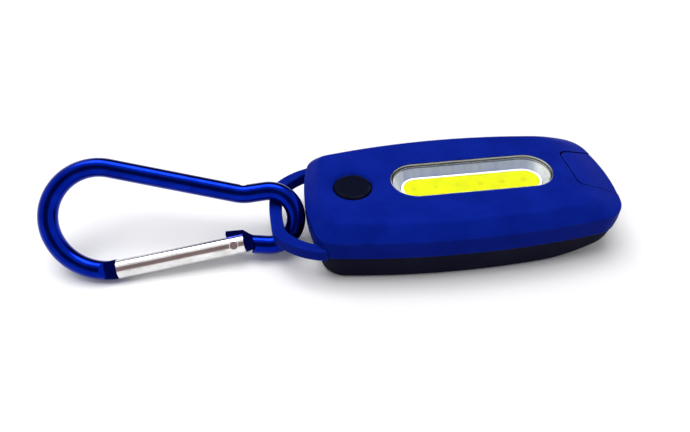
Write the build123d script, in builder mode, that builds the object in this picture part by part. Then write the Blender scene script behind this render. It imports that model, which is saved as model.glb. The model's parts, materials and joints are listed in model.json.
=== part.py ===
from build123d import *

# Keychain flashlight: a flat light with a strip of LEDs behind a clear window, a push button,
# a moulded loop at one end and a snap carabiner hanging on the loop.
# Millimetres. The origin is on the light's centre line, 35 mm from the body's loop end, on the
# table the light lies on.
# +X runs from the loop towards the light's plain end, +Z is up through the window.
import os

os.makedirs("parts", exist_ok=True)

# ---- the light's body -------------------------------------------------------------------
LOOP_END_X = -35.0
FAR_END_X = 36.1
BODY_WIDTH = 34.7
BODY_HEIGHT = 15.0
SPLIT_Z = 7.7  # where the front shell meets the rear cover
TUCK_Z = 9.3  # below this the wall of the plain end tucks inwards
FAR_TUCK = 0.3
RIM_Z = 12.0  # top of the upright side walls, foot of the sloping facets
BOW_SPAN = 35.0  # distance from the middle at which SIDE_BOW is measured
SIDE_BOW = 3.15  # how much narrower the body is at its ends than in the middle
LOOP_END_BOW = 2.3  # how far the ends bulge between their corners
FAR_END_BOW = 2.4
LOOP_CORNER_R = 4.7
FAR_CORNER_R = 7.2
RIM_EDGE_R = 0.5
# the shoulder, from the rim up to the flat top: height, then the insets of the sides, of the loop
# end and of the plain end, which slopes down in a long curve
SHOULDER = [
    (RIM_Z, 0.0, 0.0, 0.0),
    (13.6, 1.5, 1.75, 4.9),
    (14.5, 2.4, 2.8, 8.5),
    (14.85, 2.85, 3.35, 11.0),
    (BODY_HEIGHT, 3.4, 4.0, 13.3),
]
BASE_EDGE_R = 1.2
BASE_TAPER = 1.8
LIFT_X = 16.5  # from here to the plain end the back curves up off the table
LIFT_R = 26.0
LIFT_ANGLE = 22.8
WALL = 1.6
FLOOR = 1.6
CEILING_Z = 13.5
SEAM = 0.12

HALF_WIDTH = BODY_WIDTH / 2

# ---- window, reflector and LED strip ----------------------------------------------------
WINDOW_X = 3.3
WINDOW_LENGTH = 37.6
WINDOW_WIDTH = 11.7
STRIP_X = 3.6
STRIP_LENGTH = 32.0
STRIP_WIDTH = 6.6
DAM_LENGTH = 32.9
DAM_WIDTH = 7.5
DIE_X = 3.0
PITCH = 5.16
DIE_COUNT = 6
BOARD_Z = 9.0  # underside of the main board
BOARD_THICKNESS = 1.0
LED_BOARD_Z = BOARD_Z + BOARD_THICKNESS
LED_TOP_Z = LED_BOARD_Z + 1.0

# ---- button and switch ------------------------------------------------------------------
BUTTON_X = -24.1
BUTTON_R = 4.15
BUTTON_TOP_Z = 14.72
BUTTON_GAP = 0.2
DISH_R = 6.1
DISH_DEPTH = 0.8

# ---- loop -------------------------------------------------------------------------------
LOOP_TIP_X = -43.1
LOOP_BAR = 2.8
LOOP_BOTTOM_Z = 6.45
LOOP_TOP_Z = 9.8

# ---- cells, door and screws -------------------------------------------------------------
CELL_X = 4.0
CELL_R = 10.0
CELL_HEIGHT = 3.2
CELL_Z = 1.95
CELL_STEP = 3.22
DOOR_R = 11.45
DOOR_EAR = 13.3
FIT = 0.15
CAP_GAP = 0.38  # open seam round the end cap
CAP_DROP = 0.08  # how far the cap's face stands below the shell's
SHELL_SCREW_SPOTS = [(x, y) for x in (-27.0, 19.5) for y in (-11.3, 11.3)]
BOARD_SCREW_SPOTS = [(-12.0, -7.4), (-12.0, 7.4), (24.9, 0.0)]

# ---- carabiner --------------------------------------------------------------------------
WIRE_R = 2.12
EYE_R = 6.1  # centre line of the small end, which holds the loop
GATE_V = -4.35
GATE_START = -34.45
GATE_END = -6.5
GATE_R = 2.2
GATE_WALL = 0.5
GATE_SLIT = 1.5
BLADE = 1.2
RIVET = (-8.7, -4.4)
RIVET_R = 0.7
# The carabiner leans on the loop: its plane stands at about 46 degrees to the table.
# Origin at the centre of the small end, x along the gate, y across towards the back wire.
CARABINER = Plane(
    origin=(-43.33, -0.88, 8.13),
    x_dir=(0.9937, 0.0803, 0.0778),
    z_dir=(0.0043, -0.7227, 0.6911),
)


# ---- shared shapes ----------------------------------------------------------------------
def body_face(z, side=0.0, loop_end=None, far_end=None, loop_r=None, far_r=None, flat_ends=0.0):
    """Plan outline of the body at height z, with each edge moved in by its inset."""
    x_tip = LOOP_END_X + (side if loop_end is None else loop_end)
    x_far_tip = FAR_END_X - (side if far_end is None else far_end)
    x_loop = x_tip + LOOP_END_BOW - flat_ends
    x_far = x_far_tip - FAR_END_BOW + flat_ends
    half = HALF_WIDTH - side
    y_loop = half - SIDE_BOW * (x_loop / BOW_SPAN) ** 2 - 0.5 * flat_ends
    y_far = half - SIDE_BOW * (x_far / BOW_SPAN) ** 2 - 0.5 * flat_ends
    with BuildSketch(Plane.XY.offset(z)) as face:
        with BuildLine():
            ThreePointArc((x_loop, y_loop), (x_tip, 0), (x_loop, -y_loop))
            ThreePointArc((x_loop, -y_loop), (0, -half), (x_far, -y_far))
            ThreePointArc((x_far, -y_far), (x_far_tip, 0), (x_far, y_far))
            ThreePointArc((x_far, y_far), (0, half), (x_loop, y_loop))
        make_face()
        fillet(face.vertices().group_by(Axis.X)[0], LOOP_CORNER_R - side if loop_r is None else loop_r)
        fillet(face.vertices().group_by(Axis.X)[-1], FAR_CORNER_R - side if far_r is None else far_r)
    return face.sketch.faces()[0]


def inner_face(z, gap):
    """Outline parallel to the tucked-in wall of the body, gap inside it."""
    return body_face(z, gap, far_end=gap + FAR_TUCK)


def above_back(height):
    """Space above the back's underside, or above a floor that runs height over it."""
    with BuildPart() as space:
        with BuildSketch(Plane.XZ):
            with BuildLine():
                flat = Line((-50, height), (LIFT_X, height))
                curve = JernArc(flat @ 1, flat % 1, LIFT_R - height, LIFT_ANGLE)
                slope = Line(curve @ 1, curve @ 1 + 15 * (curve % 1))
                Polyline(slope @ 1, ((slope @ 1).X, 20), (-50, 20), flat @ 0)
            make_face()
        extrude(amount=30, both=True)
    return space.part


def slot_face(z, length, width, x=WINDOW_X):
    """Round-ended slot at height z about the centre line; the window's centre unless x is given."""
    with BuildSketch(Plane.XY.offset(z)) as face:
        with Locations((x, 0)):
            SlotOverall(length, width)
    return face.sketch.faces()[0]


def loop_outline(tip_x, corner, middle, root, corner_r):
    """Plan of the loop: a slightly bowed bar, and two arms that bulge on their way to the body.

    corner, middle and root are points on the +Y arm; the other arm mirrors it.
    """
    with BuildSketch(Plane.XY.offset(LOOP_BOTTOM_Z)) as face:
        with BuildLine():
            ThreePointArc((corner[0], -corner[1]), (tip_x, 0), corner)
            ThreePointArc(corner, middle, root)
            Line(root, (root[0], -root[1]))
            ThreePointArc((root[0], -root[1]), (middle[0], -middle[1]), (corner[0], -corner[1]))
        make_face()
        fillet(face.vertices().group_by(Axis.X)[0], corner_r)
    return face.sketch.faces()[0]


def panel_volume(gap):
    """Wedge at the plain end that the end cap fills; gap shrinks it for the cap itself."""
    inner_x = 26.05 + gap
    lip_x = 34.55 + gap
    sole_z = 13.45 + gap  # underside where the panel starts, falling towards the lip
    lip_z = 11.05 + gap
    hem_z = 9.4 + gap
    inner_half = 6.25 - gap
    outer_half = 8.1 - gap
    with BuildPart() as wedge:
        with BuildSketch(Plane.XZ):
            Polygon(
                (inner_x, 16.0),
                (inner_x, sole_z),
                (lip_x, lip_z),
                (lip_x, hem_z),
                (37.0, hem_z),
                (37.0, 16.0),
                align=None,
            )
        extrude(amount=10, both=True)
        with BuildSketch(Plane.XY) as plan:
            with BuildLine():
                Polyline(
                    (inner_x, inner_half),
                    (37.0, outer_half),
                    (37.0, -outer_half),
                    (inner_x, -inner_half),
                    close=True,
                )
            make_face()
            fillet(plan.vertices().group_by(Axis.X)[0], 1.8)
        extrude(amount=16, mode=Mode.INTERSECT)
    return wedge.part


# ---- front shell: blue moulding with the loop in one piece --------------------------------
with BuildPart() as shell_envelope:
    loft([body_face(SPLIT_Z, far_end=FAR_TUCK), body_face(TUCK_Z)], ruled=True)
    extrude(body_face(TUCK_Z), amount=RIM_Z - TUCK_Z)
    sections = []
    for z, side, loop_end, far_end in SHOULDER:
        rise = (z - RIM_Z) / (BODY_HEIGHT - RIM_Z)
        loop_r = LOOP_CORNER_R - 2.7 * rise
        far_r = FAR_CORNER_R - 3.4 * rise
        sections.append(body_face(z, side, loop_end, far_end, loop_r, far_r, flat_ends=0.9 * rise))
    loft(sections)
    rim = shell_envelope.edges().filter_by(lambda edge: abs(edge.center().Z - RIM_Z) < 0.001)
    fillet(rim, RIM_EDGE_R)

with BuildPart() as shell_hollow:
    extrude(inner_face(SPLIT_Z, WALL), amount=11.0 - SPLIT_Z)
    loft(
        [
            inner_face(11.0, WALL),
            body_face(CEILING_Z, 4.0, 4.5, 10.5, loop_r=0.5, far_r=0.5, flat_ends=1.2),
        ],
        ruled=True,
    )
    # bosses hang from the ceiling, so they are left out of the hollow
    with Locations([(x, y, SPLIT_Z + 0.1) for x, y in SHELL_SCREW_SPOTS]):
        Cylinder(2.2, 10, align=(Align.CENTER, Align.CENTER, Align.MIN), mode=Mode.SUBTRACT)
    with Locations([(x, y, LED_BOARD_Z) for x, y in BOARD_SCREW_SPOTS]):
        Cylinder(1.4, 10, align=(Align.CENTER, Align.CENTER, Align.MIN), mode=Mode.SUBTRACT)
    with Locations((BUTTON_X, 0, 12.35)):
        Cylinder(6.6, 10, align=(Align.CENTER, Align.CENTER, Align.MIN), mode=Mode.SUBTRACT)
    with Locations((28.0, 0, 9.4)):
        Box(10, 17, 10, align=(Align.MIN, Align.CENTER, Align.MIN), mode=Mode.SUBTRACT)

with BuildPart() as loop:
    extrude(
        loop_outline(LOOP_TIP_X, (-42.5, 8.1), (-38.0, 12.4), (-31.5, 14.8), 3.2),
        amount=LOOP_TOP_Z - LOOP_BOTTOM_Z,
    )
    extrude(
        loop_outline(LOOP_TIP_X + LOOP_BAR, (-39.75, 7.1), (-36.6, 10.4), (-31.5, 12.7), 4.5),
        amount=LOOP_TOP_Z - LOOP_BOTTOM_Z,
        mode=Mode.SUBTRACT,
    )
    fillet(loop.faces().group_by(Axis.Z)[-1].edges(), 0.45)
    fillet(loop.faces().group_by(Axis.Z)[0].edges(), 0.95)
    # the arms stop at the rear cover below the split, and at the body above it
    extrude(body_face(LOOP_BOTTOM_Z - 1, -SEAM), amount=SPLIT_Z - LOOP_BOTTOM_Z + 1, mode=Mode.SUBTRACT)

with BuildPart() as upper_shell:
    add(shell_envelope.part)
    add(loop.part)
    add(shell_hollow.part, mode=Mode.SUBTRACT)
    # window
    extrude(slot_face(CEILING_Z - 1, WINDOW_LENGTH, WINDOW_WIDTH), amount=3, mode=Mode.SUBTRACT)
    # shallow dish and hole for the button; the dish's wall runs out tangent to the top
    with BuildSketch(Plane.XZ):
        with BuildLine():
            foot = Line((BUTTON_X, BODY_HEIGHT - DISH_DEPTH), (BUTTON_X + 4.3, BODY_HEIGHT - DISH_DEPTH))
            lip = TangentArc((BUTTON_X + DISH_R, BODY_HEIGHT), foot @ 1, tangent=(-1, 0))
            Polyline(lip @ 0, lip @ 0 + (0, 1), (BUTTON_X, BODY_HEIGHT + 1), foot @ 0)
        make_face()
    revolve(axis=Axis((BUTTON_X, 0, 0), (0, 0, 1)), mode=Mode.SUBTRACT)
    with Locations((BUTTON_X, 0, 12)):
        Cylinder(BUTTON_R + BUTTON_GAP, 5, mode=Mode.SUBTRACT)
    # seat for the end cap, with the two slots its hooks snap through
    add(panel_volume(0.0), mode=Mode.SUBTRACT)
    with Locations((30.6, -4.0, 11.0), (30.6, 4.0, 11.0)):
        Box(1.3, 2.9, 5.0, mode=Mode.SUBTRACT)
    # pilot holes for the screws
    with Locations([(x, y, 9.5) for x, y in SHELL_SCREW_SPOTS]):
        Cylinder(0.73, 4.4, mode=Mode.SUBTRACT)
    with Locations([(x, y, LED_BOARD_Z + 1.0) for x, y in BOARD_SCREW_SPOTS]):
        Cylinder(0.63, 2.6, mode=Mode.SUBTRACT)
upper_shell.part.label = "upper_shell"
export_step(upper_shell.part, "parts/upper_shell.step")

# ---- end cap: snap-in panel over the sloping end -------------------------------------------
with BuildPart() as end_cap:
    add(Pos(-CAP_DROP, 0, -CAP_DROP) * shell_envelope.part)
    add(panel_volume(CAP_GAP), mode=Mode.INTERSECT)
    for side in (-1, 1):
        with Locations((30.55, 4.0 * side, 8.75)):
            Box(1.1, 2.6, 4.2, align=(Align.CENTER, Align.CENTER, Align.MIN))
        with Locations((31.05, 4.0 * side, 8.75)):
            Box(0.45, 2.6, 0.6, align=(Align.MIN, Align.CENTER, Align.MIN))
end_cap.part.label = "end_cap"
export_step(end_cap.part, "parts/end_cap.step")

# ---- rear cover: black moulding that carries the cells -------------------------------------
with BuildPart() as back_hollow:
    loft(
        [
            body_face(0, BASE_TAPER + 1.6, far_end=BASE_TAPER + FAR_TUCK + 1.6, loop_r=4.4, far_r=4.0),
            inner_face(SPLIT_Z, WALL + 0.1),
        ],
        ruled=True,
    )
    add(above_back(FLOOR), mode=Mode.INTERSECT)

with BuildPart() as rear_cover:
    loft(
        [
            body_face(0, BASE_TAPER, far_end=BASE_TAPER + FAR_TUCK, loop_r=6.0),
            body_face(SPLIT_Z, SEAM, far_end=FAR_TUCK + SEAM),
        ],
        ruled=True,
    )
    add(above_back(0), mode=Mode.INTERSECT)
    underside = rear_cover.faces().filter_by(lambda face: face.normal_at().Z < -0.9)
    across = underside.edges().filter_by(Axis.Y)
    fillet(underside.edges() - across, BASE_EDGE_R)
    add(back_hollow.part, mode=Mode.SUBTRACT)
    # tongue that locates the cover inside the shell
    extrude(inner_face(SPLIT_Z - 1.2, WALL + 0.08), amount=2.4)
    extrude(inner_face(SPLIT_Z - 1.2, WALL + 1.0), amount=2.5, mode=Mode.SUBTRACT)
    with Locations([(x, y, SPLIT_Z) for x, y in SHELL_SCREW_SPOTS]):
        Cylinder(2.35, 3, align=(Align.CENTER, Align.CENTER, Align.MIN), mode=Mode.SUBTRACT)
    # screw pillars
    with Locations([(x, y, FLOOR - 0.5) for x, y in SHELL_SCREW_SPOTS]):
        Cylinder(2.5, SPLIT_Z - FLOOR + 0.5, align=(Align.CENTER, Align.CENTER, Align.MIN))
    with Locations([(x, y, 0) for x, y in SHELL_SCREW_SPOTS]):
        Cylinder(1.75, 4, mode=Mode.SUBTRACT)
        Cylinder(0.9, 18, mode=Mode.SUBTRACT)
    # pillar for the door's screw, then the round opening, its rebate and the ear
    with Locations((CELL_X + DOOR_EAR, 0, 1.0)):
        Cylinder(1.9, 4.4, align=(Align.CENTER, Align.CENTER, Align.MIN))
    with Locations((CELL_X, 0, 0)):
        Cylinder(CELL_R + 0.3, 4, mode=Mode.SUBTRACT)
        Cylinder(DOOR_R + FIT, 2, mode=Mode.SUBTRACT)
    with BuildSketch(Plane.XY):
        with Locations((CELL_X + DOOR_EAR / 2, 0)):
            SlotCenterToCenter(DOOR_EAR, 2 * (2.4 + FIT))
    extrude(amount=1.0, mode=Mode.SUBTRACT)
    with Locations((CELL_X + DOOR_EAR, 0, 0)):
        Cylinder(0.78, 10, mode=Mode.SUBTRACT)
    # pocket over which the door's tab hooks
    with Locations((CELL_X - 11.5, 0, 0.95)):
        Box(3.2, 6.3, 2.0, align=(Align.CENTER, Align.CENTER, Align.MIN), mode=Mode.SUBTRACT)
rear_cover.part.label = "rear_cover"
export_step(rear_cover.part, "parts/rear_cover.step")

# ---- battery door: lifts off once its screw is out -----------------------------------------
with BuildPart() as battery_door:
    with BuildSketch(Plane.XY.offset(0.05)):
        with Locations((CELL_X, 0)):
            Circle(DOOR_R)
        with Locations((CELL_X + DOOR_EAR / 2, 0)):
            SlotCenterToCenter(DOOR_EAR, 4.8)
    extrude(amount=0.9)
    add(above_back(0.05), mode=Mode.INTERSECT)
    with Locations((CELL_X, 0, 0.95)):
        Cylinder(CELL_R, 0.6, align=(Align.CENTER, Align.CENTER, Align.MIN))
    with Locations((CELL_X - 11.3, 0, 1.0)):
        Box(2.8, 6.0, 0.5, align=(Align.CENTER, Align.CENTER, Align.MIN))
    with Locations((CELL_X + DOOR_EAR, 0, 0.5)):
        Cone(1.55, 0.8, 0.9, mode=Mode.SUBTRACT)
        Cylinder(0.85, 3, mode=Mode.SUBTRACT)
    # shallow finger grooves
    with BuildSketch(Plane.XY):
        with Locations([(CELL_X - 6.0, y) for y in (-3.0, 0.0, 3.0)]):
            SlotOverall(6.0, 1.0)
    extrude(amount=0.35, mode=Mode.SUBTRACT)
battery_door.part.label = "battery_door"
export_step(battery_door.part, "parts/battery_door.step")


def cross_recess(x, y, z, reach):
    """Cross-shaped driver recess cut up into a screw head whose face is at height z."""
    with Locations((x, y, z)):
        Box(reach, 0.35, 0.9, mode=Mode.SUBTRACT)
        Box(0.35, reach, 0.9, mode=Mode.SUBTRACT)


with BuildPart() as door_screw:
    with Locations((CELL_X + DOOR_EAR, 0, 0.5)):
        Cone(1.5, 0.75, 0.88)
    with Locations((CELL_X + DOOR_EAR, 0, 0.9)):
        Cylinder(0.75, 4.1, align=(Align.CENTER, Align.CENTER, Align.MIN))
    cross_recess(CELL_X + DOOR_EAR, 0, 0.06, 1.7)
door_screw.part.label = "door_screw"
export_step(door_screw.part, "parts/door_screw.step")

# ---- cells and their holder ----------------------------------------------------------------
with BuildPart() as battery_holder:
    with Locations((CELL_X, 0, FLOOR)):
        Cylinder(CELL_R + 1.3, 7.35, align=(Align.CENTER, Align.CENTER, Align.MIN))
        Cylinder(CELL_R + 0.3, 7.35, align=(Align.CENTER, Align.CENTER, Align.MIN), mode=Mode.SUBTRACT)
    with Locations((CELL_X - CELL_R - 0.8, 0, FLOOR)):
        Box(2.4, 4.6, 8, align=(Align.CENTER, Align.CENTER, Align.MIN), mode=Mode.SUBTRACT)
battery_holder.part.label = "battery_holder"
export_step(battery_holder.part, "parts/battery_holder.step")


def coin_cell(z):
    """Coin cell standing on z: a can with rounded foot and a smaller raised cap on top."""
    with BuildPart() as cell:
        with Locations((CELL_X, 0, z)):
            Cylinder(CELL_R, CELL_HEIGHT - 0.25, align=(Align.CENTER, Align.CENTER, Align.MIN))
        fillet(cell.faces().sort_by(Axis.Z)[0].edges(), 0.5)
        fillet(cell.faces().sort_by(Axis.Z)[-1].edges(), 0.3)
        with Locations((CELL_X, 0, z)):
            Cylinder(CELL_R - 1.3, CELL_HEIGHT, align=(Align.CENTER, Align.CENTER, Align.MIN))
    return cell.part


cell_lower = coin_cell(CELL_Z)
cell_lower.label = "cell_lower"
export_step(cell_lower, "parts/cell_lower.step")
cell_upper = coin_cell(CELL_Z + CELL_STEP)
cell_upper.label = "cell_upper"
export_step(cell_upper, "parts/cell_upper.step")


def contact_strip(points, width):
    """Sprung contact bent from strip, drawn edge-on in the XZ plane."""
    with BuildPart() as strip:
        with BuildSketch(Plane.XZ):
            with BuildLine():
                bends = Polyline(*points)
            trace(bends, line_width=0.25)
        extrude(amount=width / 2, both=True)
    return strip.part


side_contact = contact_strip([(-9.6, 8.85), (-6.95, 8.85), (-6.95, 5.3), (-6.2, 3.6), (-6.75, 2.4)], 3.6)
side_contact.label = "side_contact"
export_step(side_contact, "parts/side_contact.step")
top_contact = contact_strip([(11.0, 8.86), (8.0, 8.86), (3.2, 8.54), (1.6, 8.72)], 3.0)
top_contact.label = "top_contact"
export_step(top_contact, "parts/top_contact.step")

# ---- main board and what is soldered to it -------------------------------------------------
with BuildPart() as main_board:
    with BuildSketch(Plane.XY.offset(BOARD_Z)):
        with Locations((-1.4, 0)):
            RectangleRounded(57.2, 17.6, 2.0)
        with Locations(BOARD_SCREW_SPOTS):
            Circle(0.75, mode=Mode.SUBTRACT)
    extrude(amount=BOARD_THICKNESS)
main_board.part.label = "main_board"
export_step(main_board.part, "parts/main_board.step")

with BuildPart() as switch_body:
    with BuildSketch(Plane.XY.offset(LED_BOARD_Z)):
        with Locations((BUTTON_X, 0)):
            RectangleRounded(6.0, 6.0, 0.5)
    extrude(amount=1.0)
    with Locations((BUTTON_X, 0, LED_BOARD_Z)):
        Cylinder(2.2, 1.2, mode=Mode.SUBTRACT)
        Cylinder(1.18, 4.0, mode=Mode.SUBTRACT)
switch_body.part.label = "switch_body"
export_step(switch_body.part, "parts/switch_body.step")

with BuildPart() as switch_plate:
    with BuildSketch(Plane.XY.offset(LED_BOARD_Z + 1.0)):
        with Locations((BUTTON_X, 0)):
            RectangleRounded(5.9, 5.9, 0.5)
            Circle(1.35, mode=Mode.SUBTRACT)
    extrude(amount=0.15)
switch_plate.part.label = "switch_plate"
export_step(switch_plate.part, "parts/switch_plate.step")

with BuildPart() as switch_dome:
    with Locations((BUTTON_X, 0, LED_BOARD_Z + 0.02)):
        Cone(2.0, 0.6, 0.36, align=(Align.CENTER, Align.CENTER, Align.MIN))
        Cone(1.9, 0.5, 0.28, align=(Align.CENTER, Align.CENTER, Align.MIN), mode=Mode.SUBTRACT)
switch_dome.part.label = "switch_dome"
export_step(switch_dome.part, "parts/switch_dome.step")

with BuildPart() as switch_stem:
    with Locations((BUTTON_X, 0, LED_BOARD_Z + 0.4)):
        Cylinder(1.12, 1.15, align=(Align.CENTER, Align.CENTER, Align.MIN))
switch_stem.part.label = "switch_stem"
export_step(switch_stem.part, "parts/switch_stem.step")

with BuildPart() as button:
    with Locations((BUTTON_X, 0, 11.6)):
        Cylinder(BUTTON_R, BUTTON_TOP_Z - 11.6, align=(Align.CENTER, Align.CENTER, Align.MIN))
    fillet(button.faces().sort_by(Axis.Z)[-1].edges(), 0.5)
    with Locations((BUTTON_X, 0, 11.6)):
        Cylinder(4.9, 0.7, align=(Align.CENTER, Align.CENTER, Align.MIN))
button.part.label = "button"
export_step(button.part, "parts/button.step")

with BuildPart() as driver_chip:
    with Locations((-14.0, 0, BOARD_Z - 0.1)):
        Box(3.0, 2.6, 1.0, align=(Align.CENTER, Align.CENTER, Align.MAX))
    for side in (-1, 1):
        with Locations([(x, 1.7 * side, BOARD_Z) for x in (-14.9, -14.0, -13.1)]):
            Box(0.4, 1.0, 0.25, align=(Align.CENTER, Align.CENTER, Align.MAX))
driver_chip.part.label = "driver_chip"
export_step(driver_chip.part, "parts/driver_chip.step")

with BuildPart() as resistors:
    with Locations((-18.0, -4.0, BOARD_Z), (-18.0, 4.0, BOARD_Z)):
        Box(2.0, 1.25, 0.5, align=(Align.CENTER, Align.CENTER, Align.MAX))
resistors.part.label = "resistors"
export_step(resistors.part, "parts/resistors.step")

with BuildPart() as board_screws:
    with Locations([(x, y, BOARD_Z) for x, y in BOARD_SCREW_SPOTS]):
        Cylinder(1.3, 0.7, align=(Align.CENTER, Align.CENTER, Align.MAX))
        Cylinder(0.6, 2.9, align=(Align.CENTER, Align.CENTER, Align.MIN))
    for x, y in BOARD_SCREW_SPOTS:
        cross_recess(x, y, BOARD_Z - 0.7, 1.5)
board_screws.part.label = "board_screws"
export_step(board_screws.part, "parts/board_screws.step")

with BuildPart() as shell_screws:
    with Locations([(x, y, 0.6) for x, y in SHELL_SCREW_SPOTS]):
        Cylinder(1.6, 1.4, align=(Align.CENTER, Align.CENTER, Align.MIN))
        Cylinder(0.7, 10.4, align=(Align.CENTER, Align.CENTER, Align.MIN))
    for x, y in SHELL_SCREW_SPOTS:
        cross_recess(x, y, 0.6, 1.9)
shell_screws.part.label = "shell_screws"
export_step(shell_screws.part, "parts/shell_screws.step")

# ---- LED strip: board, white dam, dies under a yellow phosphor gel --------------------------
with BuildPart() as led_board:
    with BuildSketch(Plane.XY.offset(LED_BOARD_Z)):
        with Locations((2.0, 0)):
            RectangleRounded(40.6, 11.6, 0.8)
    extrude(amount=1.0)
led_board.part.label = "led_board"
export_step(led_board.part, "parts/led_board.step")

with BuildPart() as led_dam:
    extrude(slot_face(LED_TOP_Z, DAM_LENGTH, DAM_WIDTH, STRIP_X), amount=0.85)
    extrude(slot_face(LED_TOP_Z, STRIP_LENGTH, STRIP_WIDTH, STRIP_X), amount=0.85, mode=Mode.SUBTRACT)
led_dam.part.label = "led_dam"
export_step(led_dam.part, "parts/led_dam.step")

with BuildPart() as led_dies:
    with Locations((DIE_X, 0, LED_TOP_Z)):
        with GridLocations(PITCH, 1, DIE_COUNT, 1):
            Box(1.1, 0.7, 0.2, align=(Align.CENTER, Align.CENTER, Align.MIN))
led_dies.part.label = "led_dies"
export_step(led_dies.part, "parts/led_dies.step")

with BuildPart() as phosphor:
    extrude(slot_face(LED_TOP_Z, STRIP_LENGTH, STRIP_WIDTH, STRIP_X), amount=0.72)
    add(led_dies.part, mode=Mode.SUBTRACT)
phosphor.part.label = "phosphor"
export_step(phosphor.part, "parts/phosphor.step")

with BuildPart() as reflector:
    extrude(slot_face(LED_TOP_Z, WINDOW_LENGTH + 2.2, WINDOW_WIDTH - 0.2), amount=2.4)
    extrude(slot_face(LED_TOP_Z + 2.4, WINDOW_LENGTH - 0.2, WINDOW_WIDTH - 0.2), amount=0.55)
    loft(
        [
            slot_face(LED_TOP_Z, DAM_LENGTH + 0.2, DAM_WIDTH + 0.2, STRIP_X),
            slot_face(LED_TOP_Z + 2.95, WINDOW_LENGTH - 1.1, WINDOW_WIDTH - 1.1),
        ],
        mode=Mode.SUBTRACT,
    )
    # groove under the rim, seen through the lens as a dark line
    groove = slot_face(LED_TOP_Z + 2.5, WINDOW_LENGTH - 0.75, WINDOW_WIDTH - 0.75)
    extrude(groove, amount=0.28, mode=Mode.SUBTRACT)
reflector.part.label = "reflector"
export_step(reflector.part, "parts/reflector.step")

with BuildPart() as lens:
    extrude(slot_face(LED_TOP_Z + 3.0, WINDOW_LENGTH - 0.2, WINDOW_WIDTH - 0.2), amount=0.95)
    fillet(lens.faces().sort_by(Axis.Z)[-1].edges(), 0.2)
lens.part.label = "lens"
export_step(lens.part, "parts/lens.step")


def lead_wire(y):
    """Insulated lead arching from the main board up to a pad on the LED board."""
    with BuildPart() as lead:
        with BuildLine() as path:
            ThreePointArc((-19.2, y, LED_BOARD_Z), (-18.5, y, LED_TOP_Z + 0.9), (-17.5, y, LED_TOP_Z))
        with BuildSketch(Plane(origin=path.line @ 0, z_dir=path.line % 0)):
            Circle(0.4)
        sweep()
        # trimmed flush with the pads
        with Locations((-19.2, y, LED_BOARD_Z)):
            Box(2, 2, 2, align=(Align.CENTER, Align.CENTER, Align.MAX), mode=Mode.SUBTRACT)
        with Locations((-17.5, y, LED_TOP_Z)):
            Box(1.6, 2, 2, align=(Align.CENTER, Align.CENTER, Align.MAX), mode=Mode.SUBTRACT)
    return lead.part


lead_red = lead_wire(-3.6)
lead_red.label = "lead_red"
export_step(lead_red, "parts/lead_red.step")
lead_black = lead_wire(3.6)
lead_black.label = "lead_black"
export_step(lead_black, "parts/lead_black.step")


# ---- carabiner: drawn flat in its own plane, then carried to its place on the loop ----------
def seat(part, label):
    """Lay a part drawn flat into the carabiner's plane, name it and write it out."""
    seated = CARABINER.location * part
    seated.label = label
    export_step(seated, f"parts/{label}.step")


# frame: anodised wire bent to a pear shape, with both ends stamped flat
with BuildPart() as carabiner_frame:
    with BuildLine() as wire_path:
        nose_root = Line((-34.75, -4.34), (-35.2, -4.31))
        lower_bow = JernArc(nose_root @ 1, (-1, 0.067), 12.85, -73.4)
        upper_bow = JernArc(lower_bow @ 1, lower_bow % 1, 10.75, -125.4)
        spine = Line(upper_bow @ 1, upper_bow @ 1 + 28.35 * (upper_bow % 1))
        kink = JernArc(spine @ 1, spine % 1, 9.0, 19.6)
        neck = Line(kink @ 1, kink @ 1 + 3.5 * (kink % 1))
        eye = JernArc(neck @ 1, neck % 1, EYE_R, -192.0)
        tail = Line(eye @ 1, eye @ 1 + 3.25 * (eye % 1))
    with BuildSketch(Plane(origin=wire_path.line @ 0, z_dir=wire_path.line % 0)):
        Circle(WIRE_R)
    sweep()
    # flats stamped on both faces of the wire's ends
    with BuildSketch(Plane.XZ):
        for face_side in (-1, 1):
            Polygon(
                (-38.3, 2.3 * face_side),
                (-37.2, 1.2 * face_side),
                (-34.0, 1.2 * face_side),
                (-34.0, 2.3 * face_side),
                align=None,
            )
            Polygon(
                (-3.9, 2.3 * face_side),
                (-5.3, 0.5 * BLADE * face_side),
                (-9.0, 0.5 * BLADE * face_side),
                (-9.0, 2.3 * face_side),
                align=None,
            )
    extrude(amount=8.0, mode=Mode.SUBTRACT)
    # crease that the bending tool left on the outside of the kink
    with Locations(kink @ 0.5 + 3.15 * Vector(0.25, 0.97)):
        Cylinder(1.35, 6, mode=Mode.SUBTRACT)
    # nose: widened end with a hollowed face, and the tongue the gate closes over
    with BuildSketch(Plane.XY.offset(-1.2)):
        with BuildLine():
            Polyline((-34.65, -6.35), (-37.5, -5.9), (-37.5, -2.3), (-34.65, -2.1))
            ThreePointArc((-34.65, -2.1), (-35.15, -4.2), (-34.65, -6.35))
        make_face()
    extrude(amount=2.4)
    with BuildSketch(Plane.XY.offset(-0.5)):
        with Locations((-34.15, -5.4)):
            Rectangle(2.4, 1.5)
    extrude(amount=1.0)
    # hinge blade: rounded about the rivet, with a thumb tab standing out of the gate's slit
    with BuildSketch(Plane.XY.offset(-BLADE / 2)):
        Polygon(
            (-3.4, -3.5),
            (-4.9, -2.5),
            (-6.2, -1.35),
            (-10.0, -0.9),
            (-10.2, -1.6),
            (-9.9, -4.4),
            (RIVET[0], RIVET[1] - 1.3),
            (-6.35, -5.7),
            (-6.45, -6.45),
            (-5.0, -6.2),
            (-3.4, -6.9),
            align=None,
        )
        with Locations(RIVET):
            Circle(1.3)
            Circle(RIVET_R + 0.01, mode=Mode.SUBTRACT)
    extrude(amount=BLADE)
seat(carabiner_frame.part, "carabiner_frame")

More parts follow.
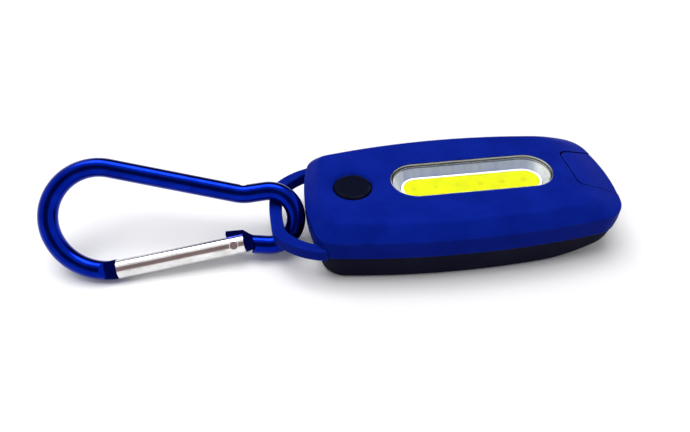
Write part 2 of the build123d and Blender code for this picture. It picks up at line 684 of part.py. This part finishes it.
# gate: tube rolled from sheet, its slit facing the inside of the carabiner
with BuildPart() as gate:
    with BuildSketch(Plane.YZ.offset(GATE_START)):
        with Locations((GATE_V, 0)):
            Circle(GATE_R)
            Circle(GATE_R - GATE_WALL, mode=Mode.SUBTRACT)
    extrude(amount=GATE_END - GATE_START)
    with Locations((GATE_START, GATE_V, 0)):
        Box(60, 3, GATE_SLIT, align=(Align.CENTER, Align.MIN, Align.CENTER), mode=Mode.SUBTRACT)
        Box(4.6, 3, 1.3, align=(Align.CENTER, Align.MAX, Align.CENTER), mode=Mode.SUBTRACT)
    with Locations((RIVET[0], RIVET[1], 0)):
        Cylinder(RIVET_R + 0.04, 8, mode=Mode.SUBTRACT)
seat(gate.part, "gate")

with BuildPart() as gate_rivet:
    with Locations((RIVET[0], RIVET[1], 0)):
        Cylinder(RIVET_R, 4.5)
    for face_side in (-1, 1):
        with Locations((RIVET[0], RIVET[1], 2.4 * face_side)):
            Cylinder(1.05, 0.34)
    fillet(gate_rivet.faces().sort_by(Axis.Z)[0].edges(), 0.2)
    fillet(gate_rivet.faces().sort_by(Axis.Z)[-1].edges(), 0.2)
seat(gate_rivet.part, "gate_rivet")

with BuildPart() as gate_spring:
    with BuildSketch(Plane.XY.offset(-0.4)):
        with BuildLine():
            bends = Polyline((-24.0, -5.8), (-14.5, -5.8), (-11.8, -4.9), (-10.32, -2.8))
        trace(bends, line_width=0.3)
    extrude(amount=0.8)
seat(gate_spring.part, "gate_spring")
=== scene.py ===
import json
from math import cos, radians, sin

import bpy
from mathutils import Matrix, Vector


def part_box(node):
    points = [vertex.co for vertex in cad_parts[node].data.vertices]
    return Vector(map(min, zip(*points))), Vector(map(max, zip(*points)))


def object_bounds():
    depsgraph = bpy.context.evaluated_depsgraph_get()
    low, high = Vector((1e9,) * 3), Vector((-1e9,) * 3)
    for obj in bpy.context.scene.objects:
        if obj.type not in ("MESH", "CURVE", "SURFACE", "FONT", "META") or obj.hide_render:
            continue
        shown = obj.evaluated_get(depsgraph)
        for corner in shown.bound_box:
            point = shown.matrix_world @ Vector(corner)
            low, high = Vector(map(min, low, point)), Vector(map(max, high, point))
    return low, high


# Keychain flashlight: looks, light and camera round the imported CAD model.
# Metres, in the CAD frame: +X from the loop towards the plain end, +Z up, table at z = 0.
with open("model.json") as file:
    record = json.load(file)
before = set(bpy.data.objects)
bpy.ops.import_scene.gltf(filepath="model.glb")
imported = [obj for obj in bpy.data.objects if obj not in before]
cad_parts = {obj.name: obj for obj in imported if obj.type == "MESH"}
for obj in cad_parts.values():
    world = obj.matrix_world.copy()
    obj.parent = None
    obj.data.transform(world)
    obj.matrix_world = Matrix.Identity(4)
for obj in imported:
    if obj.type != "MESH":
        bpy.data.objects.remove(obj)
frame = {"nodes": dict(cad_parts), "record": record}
cad_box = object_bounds()
MM = 0.001


# ---- shader building blocks ----------------------------------------------------------------
def new_material(name):
    """An empty node material with its Principled shader; returns all three."""
    material = bpy.data.materials.new(name)
    material.use_nodes = True
    tree = material.node_tree
    tree.nodes.clear()
    output = tree.nodes.new("ShaderNodeOutputMaterial")
    shader = tree.nodes.new("ShaderNodeBsdfPrincipled")
    tree.links.new(shader.outputs["BSDF"], output.inputs["Surface"])
    return material, tree, shader


def noise(tree, scale, detail=3.0, roughness=0.5, stretch=(1, 1, 1)):
    """Noise in object coordinates (metres); scale is cycles per metre."""
    coords = tree.nodes.new("ShaderNodeTexCoord")
    mapping = tree.nodes.new("ShaderNodeMapping")
    mapping.inputs["Scale"].default_value = stretch
    texture = tree.nodes.new("ShaderNodeTexNoise")
    texture.inputs["Scale"].default_value = scale
    texture.inputs["Detail"].default_value = detail
    texture.inputs["Roughness"].default_value = roughness
    tree.links.new(coords.outputs["Object"], mapping.inputs["Vector"])
    tree.links.new(mapping.outputs["Vector"], texture.inputs["Vector"])
    return texture.outputs["Fac"]


def place(tree):
    """X and Y of the shaded point in object coordinates (metres)."""
    coords = tree.nodes.new("ShaderNodeTexCoord")
    split = tree.nodes.new("ShaderNodeSeparateXYZ")
    tree.links.new(coords.outputs["Object"], split.inputs["Vector"])
    return split.outputs["X"], split.outputs["Y"]


def compute(tree, operation, first, second=0.0):
    """One math node; each input is a socket or a number."""
    node = tree.nodes.new("ShaderNodeMath")
    node.operation = operation
    for socket, value in zip(node.inputs, (first, second)):
        if isinstance(value, bpy.types.NodeSocket):
            tree.links.new(value, socket)
        else:
            socket.default_value = value
    return node.outputs["Value"]


def ramp(tree, value, dark, light, low=0.35, high=0.65):
    """Colour from dark to light as value goes from low to high."""
    node = tree.nodes.new("ShaderNodeValToRGB")
    for element, position, colour in zip(node.color_ramp.elements, (low, high), (dark, light)):
        element.position = position
        element.color = (*colour, 1)
    tree.links.new(value, node.inputs["Fac"])
    return node.outputs["Color"]


def span(tree, value, low, high, from_low=0.0, from_high=1.0):
    """Value from from_low..from_high carried to low..high, held at both ends."""
    node = tree.nodes.new("ShaderNodeMapRange")
    node.inputs["From Min"].default_value = from_low
    node.inputs["From Max"].default_value = from_high
    node.inputs["To Min"].default_value = low
    node.inputs["To Max"].default_value = high
    tree.links.new(value, node.inputs["Value"])
    return node.outputs["Result"]


def mix(tree, factor, first, second):
    """Colour blend from first to second; each colour is a socket or an (r, g, b)."""
    node = tree.nodes.new("ShaderNodeMix")
    node.data_type = "RGBA"
    tree.links.new(factor, node.inputs["Factor"])
    for socket, value in ((node.inputs[6], first), (node.inputs[7], second)):
        if isinstance(value, bpy.types.NodeSocket):
            tree.links.new(value, socket)
        else:
            socket.default_value = (*value, 1)
    return node.outputs[2]


def mix_shaders(tree, factor, first, second):
    """Shader blend from first to second."""
    node = tree.nodes.new("ShaderNodeMixShader")
    for socket, value in zip(node.inputs, (factor, first, second)):
        tree.links.new(value, socket)
    return node.outputs["Shader"]


def bevelled_normal(tree, radius_mm, samples):
    """Normal of the surface as if its edges were rounded to the radius."""
    bevel = tree.nodes.new("ShaderNodeBevel")
    bevel.samples = samples
    bevel.inputs["Radius"].default_value = radius_mm * MM
    return bevel.outputs["Normal"]


def bump(tree, shader, value, height_mm, strength, edge_mm=0.0):
    """Bump of a real height in millimetres, over edges softened by edge_mm."""
    node = tree.nodes.new("ShaderNodeBump")
    node.inputs["Distance"].default_value = height_mm * MM
    node.inputs["Strength"].default_value = strength
    tree.links.new(value, node.inputs["Height"])
    if edge_mm:
        tree.links.new(bevelled_normal(tree, edge_mm, 6), node.inputs["Normal"])
    tree.links.new(node.outputs["Normal"], shader.inputs["Normal"])


def edge_wear_and_highlight(tree, width_mm):
    """0 on flat ground, 1 on edges, which are lightened as wear and painted highlight: there the
    bevelled normal leaves the true one.
    """
    geometry = tree.nodes.new("ShaderNodeNewGeometry")
    dot = tree.nodes.new("ShaderNodeVectorMath")
    dot.operation = "DOT_PRODUCT"
    tree.links.new(bevelled_normal(tree, width_mm, 4), dot.inputs[0])
    tree.links.new(geometry.outputs["Normal"], dot.inputs[1])
    return span(tree, dot.outputs["Value"], 1.0, 0.0, 0.965, 0.998)


def painted_crevice_shade(tree, reach_mm):
    """1 in the open, falling to 0 deep in seams and grooves: the mask that paints shade there."""
    occlusion = tree.nodes.new("ShaderNodeAmbientOcclusion")
    occlusion.samples = 6
    occlusion.inputs["Distance"].default_value = reach_mm * MM
    return span(tree, occlusion.outputs["AO"], 0.0, 1.0, 0.35, 0.85)


# ---- materials -----------------------------------------------------------------------------
# painted shade in the seams of the shell: how far it reaches and its colour
SEAM_SHADE_REACH = 0.9  # millimetres
SEAM_SHADE_COLOUR = (0.0, 0.0, 0.02)
# width of the lightened edges, part wear and part painted highlight
WEAR_AND_HIGHLIGHT_WIDTH = 0.45  # millimetres


def moulded_plastic(name, dark, light, rough, grain_mm, grain_height, spec=0.5, wear_and_highlight=None, edge_mm=0.0):
    """Injection-moulded plastic: colour drift, spark-eroded grain, uneven sheen, lighter edges.

    The edge colour marks edges that are part wear, part painted highlight;
    edge_mm rounds them and gives the shell dark seams of painted shade.
    """
    material, tree, shader = new_material(name)
    colour = ramp(tree, noise(tree, 120, 6, 0.65), dark, light)
    if edge_mm:
        # painted shade in the seams
        colour = mix(tree, painted_crevice_shade(tree, SEAM_SHADE_REACH), SEAM_SHADE_COLOUR, colour)
    if wear_and_highlight:
        # edges lightened in patches, part wear and part painted highlight
        patches = span(tree, noise(tree, 350, 4), 0.0, 1.0, 0.35, 0.65)
        rubbed_and_lit = compute(tree, "MULTIPLY", edge_wear_and_highlight(tree, WEAR_AND_HIGHLIGHT_WIDTH), patches)
        colour = mix(tree, rubbed_and_lit, colour, wear_and_highlight)
    tree.links.new(colour, shader.inputs["Base Color"])
    tree.links.new(span(tree, noise(tree, 900, 3), *rough), shader.inputs["Roughness"])
    shader.inputs["Specular IOR Level"].default_value = spec
    bump(tree, shader, noise(tree, 1 / (grain_mm * MM), 2), grain_height, 0.5, edge_mm)
    return material


def rubbed_steel(name, dark, light):
    """Bright steel with fine marks that run no particular way."""
    material, tree, shader = new_material(name)
    marks = noise(tree, 800, 4, 0.6)
    tree.links.new(ramp(tree, marks, dark, light, 0.3, 0.7), shader.inputs["Base Color"])
    tree.links.new(span(tree, marks, 0.2, 0.35), shader.inputs["Roughness"])
    shader.inputs["Metallic"].default_value = 1.0
    bump(tree, shader, marks, 0.004, 0.4)
    return material


def anodised(name, dark, light):
    """Bright dyed aluminium wire: deep blue, slightly wavy from bending, scuffed in places."""
    material, tree, shader = new_material(name)
    drift = noise(tree, 250, 3)
    scuff = span(tree, noise(tree, 2500, 4, 0.7, (0.25, 1, 1)), 0.0, 0.15, 0.60, 0.72)
    rough = compute(tree, "ADD", span(tree, drift, 0.11, 0.18), scuff)
    tree.links.new(ramp(tree, drift, dark, light), shader.inputs["Base Color"])
    tree.links.new(rough, shader.inputs["Roughness"])
    shader.inputs["Metallic"].default_value = 1.0
    bump(tree, shader, noise(tree, 700, 2), 0.006, 0.5)
    return material


SILVER_DARK = (0.70, 0.70, 0.71)
SILVER_LIGHT = (0.92, 0.91, 0.90)
SILVER_TARNISH = (0.42, 0.38, 0.36)


def rolled_tube(name):
    """Polished rolled sheet: streaks along its length, patchy tarnish, fine pits and a wavy sheen."""
    material, tree, shader = new_material(name)
    streaks = noise(tree, 500, 4, 0.6, (0.08, 1, 1))
    patches = span(tree, noise(tree, 260, 4, 0.65, (0.6, 1, 1)), 0.0, 1.0, 0.46, 0.68)
    silver = ramp(tree, streaks, SILVER_DARK, SILVER_LIGHT, 0.3, 0.7)
    colour = mix(tree, compute(tree, "MULTIPLY", patches, 0.5), silver, SILVER_TARNISH)
    tree.links.new(colour, shader.inputs["Base Color"])
    tree.links.new(span(tree, patches, 0.10, 0.24), shader.inputs["Roughness"])
    shader.inputs["Metallic"].default_value = 1.0
    waves = compute(tree, "MULTIPLY", noise(tree, 300, 2, 0.5, (0.5, 1, 1)), 4.0)
    pits = noise(tree, 3000, 3)
    bump(tree, shader, compute(tree, "ADD", waves, pits), 0.012, 0.6)
    return material


DIE_COUNT = 6
DIE_SHARE = 0.216  # length of a die over the pitch of the row
GEL_DARK = (0.41, 0.435, 0.0020)
GEL_LIGHT = (0.455, 0.48, 0.0025)
GEL_SPOT = (0.29, 0.315, 0.008)


def phosphor_gel(name):
    """Yellow gel with a painted glow standing in for its fluorescence, and a darker spot over each LED
    die.
    """
    material, tree, shader = new_material(name)
    low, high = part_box("led_dies")
    pitch = (high.x - low.x) / (DIE_COUNT - 1 + DIE_SHARE)
    first_die = low.x + DIE_SHARE / 2 * pitch
    x, y = place(tree)
    steps = compute(tree, "DIVIDE", compute(tree, "SUBTRACT", x, first_die), pitch)
    along = compute(tree, "MULTIPLY", compute(tree, "PINGPONG", steps, 0.5), pitch)
    squares = compute(tree, "ADD", compute(tree, "POWER", along, 2.0), compute(tree, "POWER", y, 2.0))
    wobble = span(tree, noise(tree, 900, 3), -0.6 * MM, 0.6 * MM)
    away = compute(tree, "ADD", compute(tree, "SQRT", squares), wobble)
    spot = span(tree, away, 0.55, 0.0, 0.25 * MM, 0.95 * MM)
    colour = mix(tree, spot, ramp(tree, noise(tree, 350, 4), GEL_DARK, GEL_LIGHT), GEL_SPOT)
    tree.links.new(colour, shader.inputs["Base Color"])
    # painted glow: the gel gives off a little light of its own colour whatever light reaches it
    tree.links.new(colour, shader.inputs["Emission Color"])
    shader.inputs["Emission Strength"].default_value = 0.05
    shader.inputs["Specular IOR Level"].default_value = 0.02
    tree.links.new(span(tree, noise(tree, 900, 3), 0.35, 0.5), shader.inputs["Roughness"])
    bump(tree, shader, noise(tree, 2000, 3), 0.02, 0.5)
    return material


# middle tinted bluer and darker than the ends to cancel the gel's yellow light on it: painted shading
TRAY_MIDDLE_COUNTER_TINT_DARK = (0.30, 0.34, 0.50)
TRAY_MIDDLE_COUNTER_TINT_LIGHT = (0.38, 0.41, 0.57)
TRAY_END_DARK = (0.48, 0.49, 0.52)
TRAY_END_LIGHT = (0.74, 0.75, 0.77)
# painted shade in the groove
TRAY_GROOVE_SHADE = (0.005, 0.005, 0.008)
GROOVE_SHADE_REACH = 0.3  # millimetres


def satin_reflector(name):
    """Vacuum-silvered tray: satin grey, streaked down its walls, paler at the two round ends.

    Painted shading: the middle is tinted bluer and darker than the ends to cancel the gel's yellow
    light on it, and the groove holds painted shade.
    """
    material, tree, shader = new_material(name)
    low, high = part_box("reflector")
    length = high.x - low.x
    x, _ = place(tree)
    off_middle = compute(tree, "ABSOLUTE", compute(tree, "SUBTRACT", x, (low.x + high.x) / 2))
    end = span(tree, off_middle, 0.0, 1.0, length * 0.37, length * 0.45)
    streaks = noise(tree, 900, 3, 0.6, (1, 0.15, 0.15))
    middle = ramp(tree, streaks, TRAY_MIDDLE_COUNTER_TINT_DARK, TRAY_MIDDLE_COUNTER_TINT_LIGHT)
    ends = ramp(tree, streaks, TRAY_END_DARK, TRAY_END_LIGHT)
    # painted shade in the groove, over the painted shading from middle to ends
    colour = mix(tree, painted_crevice_shade(tree, GROOVE_SHADE_REACH), TRAY_GROOVE_SHADE, mix(tree, end, middle, ends))
    tree.links.new(colour, shader.inputs["Base Color"])
    tree.links.new(span(tree, streaks, 0.45, 0.6), shader.inputs["Roughness"])
    shader.inputs["Metallic"].default_value = 0.5
    bump(tree, shader, streaks, 0.004, 0.4)
    return material


def clear_plastic(name):
    """Thin clear window with a trace of haze and a frosted rim; shadows pass through it."""
    material, tree, shader = new_material(name)
    shader.inputs["Base Color"].default_value = (0.97, 0.98, 0.98, 1)
    shader.inputs["Transmission Weight"].default_value = 1.0
    shader.inputs["IOR"].default_value = 1.46
    shader.inputs["Specular IOR Level"].default_value = 0.25
    tree.links.new(span(tree, noise(tree, 300, 4), 0.0, 0.04), shader.inputs["Roughness"])
    geometry = tree.nodes.new("ShaderNodeNewGeometry")
    split = tree.nodes.new("ShaderNodeSeparateXYZ")
    tree.links.new(geometry.outputs["True Normal"], split.inputs["Vector"])
    rim = span(tree, compute(tree, "ABSOLUTE", split.outputs["Z"]), 0.75, 0.0, 0.5, 0.95)
    frost = tree.nodes.new("ShaderNodeBsdfDiffuse")
    frost.inputs["Color"].default_value = (0.90, 0.92, 0.95, 1)
    body = mix_shaders(tree, rim, shader.outputs["BSDF"], frost.outputs["BSDF"])
    path = tree.nodes.new("ShaderNodeLightPath")
    passing = tree.nodes.new("ShaderNodeBsdfTransparent")
    surface = mix_shaders(tree, path.outputs["Is Shadow Ray"], body, passing.outputs["BSDF"])
    output = next(node for node in tree.nodes if node.type == "OUTPUT_MATERIAL")
    tree.links.new(surface, output.inputs["Surface"])
    return material


# lighter edge colour of the black parts: part wear, part painted highlight
BLACK_WEAR_AND_HIGHLIGHT = (0.025, 0.026, 0.04)
# the lighter edge colours here are part wear, part painted highlight
MOULDED = {
    "blue_plastic": dict(
        dark=(0.0016, 0.0105, 0.215), light=(0.0026, 0.0150, 0.272), rough=(0.42, 0.55),
        grain_mm=0.25, grain_height=0.03, spec=0.018, wear_and_highlight=(0.007, 0.032, 0.37), edge_mm=0.12,
    ),
    "black_plastic": dict(
        dark=(0.008, 0.008, 0.022), light=(0.012, 0.012, 0.028), rough=(0.5, 0.65),
        grain_mm=0.2, grain_height=0.02, spec=0.01, wear_and_highlight=BLACK_WEAR_AND_HIGHLIGHT,
    ),
    "button_plastic": dict(
        dark=(0.002, 0.003, 0.010), light=(0.003, 0.004, 0.012), rough=(0.4, 0.5),
        grain_mm=0.15, grain_height=0.01, spec=0.015, wear_and_highlight=BLACK_WEAR_AND_HIGHLIGHT,
    ),
    "switch_black": dict(
        dark=(0.01, 0.01, 0.01), light=(0.02, 0.02, 0.02), rough=(0.4, 0.5),
        grain_mm=0.2, grain_height=0.01,
    ),
    "chip_black": dict(
        dark=(0.01, 0.01, 0.01), light=(0.03, 0.03, 0.03), rough=(0.4, 0.5),
        grain_mm=0.2, grain_height=0.01,
    ),
    "lead_red": dict(
        dark=(0.4, 0.01, 0.01), light=(0.5, 0.02, 0.01), rough=(0.35, 0.45),
        grain_mm=0.3, grain_height=0.005,
    ),
    "lead_black": dict(
        dark=(0.01, 0.01, 0.01), light=(0.02, 0.02, 0.02), rough=(0.35, 0.45),
        grain_mm=0.3, grain_height=0.005,
    ),
    "board_green": dict(
        dark=(0.01, 0.09, 0.03), light=(0.02, 0.13, 0.04), rough=(0.2, 0.3),
        grain_mm=0.5, grain_height=0.004,
    ),
    "led_ceramic": dict(
        dark=(0.86, 0.86, 0.84), light=(0.93, 0.93, 0.91), rough=(0.3, 0.45),
        grain_mm=0.3, grain_height=0.01,
    ),
    "semiconductor": dict(
        dark=(0.5, 0.45, 0.05), light=(0.6, 0.55, 0.1), rough=(0.2, 0.3),
        grain_mm=0.3, grain_height=0.004,
    ),
}
materials = {name: moulded_plastic(name, **look) for name, look in MOULDED.items()}
materials["bright_steel"] = rubbed_steel("bright_steel", (0.5, 0.5, 0.5), (0.65, 0.65, 0.64))
materials["cell_steel"] = rubbed_steel("cell_steel", (0.6, 0.6, 0.58), (0.7, 0.7, 0.68))
materials["anodised_blue"] = anodised("anodised_blue", (0.0008, 0.0095, 0.245), (0.0016, 0.0155, 0.33))
materials["gate_silver"] = rolled_tube("gate_silver")
materials["phosphor_gel"] = phosphor_gel("phosphor_gel")
materials["silvered_plastic"] = satin_reflector("silvered_plastic")
materials["clear_plastic"] = clear_plastic("clear_plastic")

slot_of = {part["node"]: part["material_slot"] for part in frame["record"]["subparts"]}
for node, obj in frame["nodes"].items():
    obj.data.materials.clear()
    obj.data.materials.append(materials[slot_of[node]])

# ---- camera direction, which the studio is laid out around ---------------------------------
CAMERA_AZIMUTH = -0.125
CAMERA_ELEVATION = 0.740
TO_CAMERA = Vector((
    sin(CAMERA_AZIMUTH) * cos(CAMERA_ELEVATION),
    -cos(CAMERA_AZIMUTH) * cos(CAMERA_ELEVATION),
    sin(CAMERA_ELEVATION),
))

# ---- table ---------------------------------------------------------------------------------
TABLE_SIZE = 6.0
PAPER_DARK = (0.95, 0.95, 0.955)
PAPER_LIGHT = (0.97, 0.97, 0.975)
# less light bounces back up than a white sheet would give, so the side walls stay deep in tone
PAPER_BOUNCE = (0.50, 0.50, 0.52)


def white_paper(name):
    """Matt white sheet with a faint drift in tone."""
    material, tree, shader = new_material(name)
    path = tree.nodes.new("ShaderNodeLightPath")
    paper = ramp(tree, noise(tree, 3, 3), PAPER_DARK, PAPER_LIGHT, 0.4, 0.6)
    colour = mix(tree, path.outputs["Is Diffuse Ray"], paper, PAPER_BOUNCE)
    tree.links.new(colour, shader.inputs["Base Color"])
    tree.links.new(span(tree, noise(tree, 200, 3), 0.6, 0.7), shader.inputs["Roughness"])
    shader.inputs["Specular IOR Level"].default_value = 0.1
    return material


bpy.ops.mesh.primitive_plane_add(size=TABLE_SIZE, location=(0, 0, cad_box[0].z))
table = bpy.context.object
table.name = "table"
table.data.materials.append(white_paper("table_white"))

# ---- light ---------------------------------------------------------------------------------
FILL = 0.47
FILL_COLOUR = (0.97, 0.97, 1.0)
KEY_DIRECTION = (-0.22, 0.08, 0.97)
KEY_DISTANCE = 0.8
KEY_SIZE = 0.62
KEY_WATTS = 5.3
TENT_DIM_DIRECTION = (0.22, 0.82, 0.50)
TENT_DIM = 0.10
CAMERA_SIDE = (0.24, 0.17, 0.17)
SOFTBOX_DIRECTION = (-0.03, 0.38, 0.92)
SOFTBOX = 6.5


def key_light():
    """Large square soft light nearly overhead; mirrors don't show it."""
    lamp = bpy.data.lights.new("key", "AREA")
    lamp.size = KEY_SIZE
    lamp.energy = KEY_WATTS
    holder = bpy.data.objects.new("key", lamp)
    bpy.context.collection.objects.link(holder)
    towards = Vector(KEY_DIRECTION)
    holder.location = towards.normalized() * KEY_DISTANCE
    holder.rotation_euler = towards.to_track_quat("Z", "Y").to_euler()
    holder.visible_glossy = False


def cone(tree, direction, inner, outer, low, high, squeeze=(1, 1, 1)):
    """high inside the inner angle about direction, low outside the outer one (degrees).

    squeeze below 1 widens the cone along that axis.
    """
    coords = tree.nodes.new("ShaderNodeTexCoord")
    scale = tree.nodes.new("ShaderNodeVectorMath")
    scale.operation = "MULTIPLY"
    scale.inputs[1].default_value = squeeze
    unit = tree.nodes.new("ShaderNodeVectorMath")
    unit.operation = "NORMALIZE"
    dot = tree.nodes.new("ShaderNodeVectorMath")
    dot.operation = "DOT_PRODUCT"
    dot.inputs[1].default_value = Vector(direction).normalized()
    tree.links.new(coords.outputs["Generated"], scale.inputs[0])
    tree.links.new(scale.outputs["Vector"], unit.inputs[0])
    tree.links.new(unit.outputs["Vector"], dot.inputs[0])
    return span(tree, dot.outputs["Value"], low, high, cos(radians(outer)), cos(radians(inner)))


def studio_world():
    """Even fill for surfaces; mirrors see a pale tent with a softbox and a dark camera side."""
    world = bpy.data.worlds.new("studio")
    bpy.context.scene.world = world
    world.use_nodes = True
    tree = world.node_tree
    fill = tree.nodes["Background"]
    fill.inputs["Color"].default_value = (*FILL_COLOUR, 1)
    fill.inputs["Strength"].default_value = FILL
    camera_side = cone(tree, TO_CAMERA, 20, 34, 0.0, 1.0)
    tent = cone(tree, TENT_DIM_DIRECTION, 24, 38, 1.0, TENT_DIM)
    softbox = cone(tree, SOFTBOX_DIRECTION, 12, 18, 0.0, SOFTBOX, squeeze=(0.5, 1, 1))
    mirrored = tree.nodes.new("ShaderNodeBackground")
    tree.links.new(mix(tree, camera_side, (1.0, 1.0, 1.0), CAMERA_SIDE), mirrored.inputs["Color"])
    tree.links.new(compute(tree, "ADD", tent, softbox), mirrored.inputs["Strength"])
    path = tree.nodes.new("ShaderNodeLightPath")
    surface = mix_shaders(
        tree, path.outputs["Is Glossy Ray"], fill.outputs["Background"], mirrored.outputs["Background"]
    )
    tree.links.new(surface, tree.nodes["World Output"].inputs["Surface"])


key_light()
studio_world()

# ---- camera --------------------------------------------------------------------------------
CAMERA_ROLL = -0.0073
CAMERA_DISTANCE = 148.19 * MM
CAMERA_TARGET = Vector((-25.07, 6.39, 0)) * MM
CAMERA_LENS = 31.3  # millimetres, on a sensor 36 mm wide

right = (-TO_CAMERA).cross(Vector((0, 0, 1))).normalized()
up = right.cross(-TO_CAMERA)
level = Matrix((right, up, TO_CAMERA)).transposed().to_4x4()
stand = Matrix.Translation(CAMERA_TARGET + TO_CAMERA * CAMERA_DISTANCE)
lens = bpy.data.cameras.new("camera")
lens.sensor_width = 36.0
lens.lens = CAMERA_LENS
lens.clip_start = 0.005
camera = bpy.data.objects.new("camera", lens)
bpy.context.collection.objects.link(camera)
camera.matrix_world = stand @ level @ Matrix.Rotation(CAMERA_ROLL, 4, "Z")
bpy.context.scene.camera = camera
bpy.context.scene.view_settings.view_transform = "Standard"
